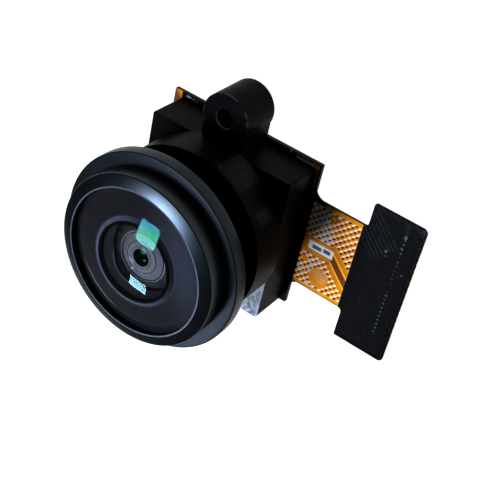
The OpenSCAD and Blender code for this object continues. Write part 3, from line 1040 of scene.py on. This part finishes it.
plateFilm = makePlateFilm()
plateRelief = makePlateRelief()
for piece in (plateFilm, plateRelief):
    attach(piece, "root")
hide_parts("plate_stiffener")
print("plate film made")

for node, finish in {
    "back_stiffener": "stiffener", "flex_board": "flex", "contact_fingers": "gold", "holder_glue": "glue",
    "front_seal": "seal", "baffle_ring": "innerBlack", "third_element": "lensGlass",
    "doublet_front": "lensGlass", "doublet_rear": "lensGlass", "spacer_ring": "innerBlack",
    "rear_element": "lensGlass", "ir_filter": "filterGlass", "image_sensor": "sensor",
    "sensor_glass": "lensGlass", "capacitors": "ceramic", "regulator": "chip", "oscillator": "can",
}.items():
    dress(node, finish)
print("CAD nodes finished")


studio = {
    "cameraAzimuth": 148.6, "cameraElevation": 46.0, "cameraRoll": -125.8,
    "cameraAim": (4.59, -2.36, 2.91), "cameraDistance": 105.0, "lens": 77.92,
    "floorSize": 1.6, "floorGlow": 1.0,
    "lightDistance": 0.6, "lightAim": (0, 0, 0.014),
    "overheadWay": (-0.29, -0.14, 0.945), "overheadSize": (0.155, 0.155), "overheadRadiance": 50,
    "overheadTint": (0.74, 0.83, 1.0),
    "sideWay": (-0.29, -0.70, 0.64), "sideSize": (0.105, 0.08), "sideRadiance": 27,
    "sideTint": (0.74, 0.83, 1.0),
    "fillWay": (-0.15, -0.5, 0.85), "fillSize": (0.09, 0.09), "fillRadiance": 105,
    "fillTint": (1.0, 0.96, 0.9),
    "skyTint": (0.76, 0.86, 1.0), "skyStrength": 0.15,
}


def makeFloor():
    mesh = bpy.data.meshes.new("studioFloor")
    half = studio["floorSize"] / 2
    corners = [(-half, -half, 0), (half, -half, 0), (half, half, 0), (-half, half, 0)]
    mesh.from_pydata(corners, [], [(0, 1, 2, 3)])
    floor = bpy.data.objects.new("studioFloor", mesh)
    bpy.context.scene.collection.objects.link(floor)
    f = Finish("studioFloorWhite")
    cloud = f.grain(0.02, 2)
    colour = f.blend(cloud, (0.10, 0.10, 0.10), (0.11, 0.11, 0.11))
    mesh.materials.append(f.done(f.shell(Base_Color=colour, Roughness=0.9, Specular_IOR_Level=0.0,
                                         Emission_Color=(1, 1, 1), Emission_Strength=studio["floorGlow"])))


def softbox(name, way, size, radiance, tint):  # a plain panel that faces the lens, square to the part
    light = bpy.data.lights.new(name, "AREA")
    light.shape = "RECTANGLE"
    light.size, light.size_y = size
    light.energy = radiance * math.pi * size[0] * size[1]
    light.color = tint
    lamp = bpy.data.objects.new(name, light)
    back = Vector(way).normalized()
    across = (Vector((1, 0, 0)) - back * back.x).normalized()
    spot = Vector(studio["lightAim"]) + back * studio["lightDistance"]
    facing = Matrix((across, back.cross(across), back)).transposed().to_4x4()
    lamp.matrix_world = Matrix.Translation(spot) @ facing
    bpy.context.scene.collection.objects.link(lamp)
    return lamp


def makeLights():
    s = studio
    softbox("overheadSoftbox", s["overheadWay"], s["overheadSize"], s["overheadRadiance"], s["overheadTint"])
    side = softbox("sideSoftbox", s["sideWay"], s["sideSize"], s["sideRadiance"], s["sideTint"])
    side.visible_transmission = False
    fill = softbox("fillSoftbox", s["fillWay"], s["fillSize"], s["fillRadiance"], s["fillTint"])
    fill.visible_glossy = False  # it lights without a glint of its own
    # the side panel again, weaker, seen only through the glass
    inner = softbox("innerSoftbox", s["sideWay"], s["sideSize"], s["sideRadiance"] / 3, s["sideTint"])
    inner.visible_glossy = False
    inner.visible_diffuse = False


def makeSky():
    world = bpy.data.worlds.new("studioRoom")
    bpy.context.scene.world = world
    world.use_nodes = True
    sky = world.node_tree.nodes["Background"]
    sky.inputs["Color"].default_value = (*studio["skyTint"], 1)
    sky.inputs["Strength"].default_value = studio["skyStrength"]


def makeCamera():
    s = studio
    azimuth, elevation = math.radians(s["cameraAzimuth"]), math.radians(s["cameraElevation"])
    level = math.cos(elevation)
    away = Vector((math.sin(azimuth) * level, -math.cos(azimuth) * level, math.sin(elevation)))
    camera = bpy.data.objects.new("camera", bpy.data.cameras.new("camera"))
    camera.data.lens = s["lens"]
    camera.data.sensor_width = 36
    camera.data.clip_start = 0.001
    camera.location = (Vector(s["cameraAim"]) + away * s["cameraDistance"]) * mm
    upright = away.to_track_quat("Z", "Y")
    roll = Matrix.Rotation(math.radians(s["cameraRoll"]), 4, "Z")
    camera.rotation_euler = (upright.to_matrix().to_4x4() @ roll).to_euler()
    bpy.context.scene.collection.objects.link(camera)
    bpy.context.scene.camera = camera


makeFloor()
makeLights()
makeSky()
makeCamera()
bpy.context.scene.view_settings.view_transform = "Standard"
bpy.context.scene.view_settings.gamma = 0.75
print("studio ready")
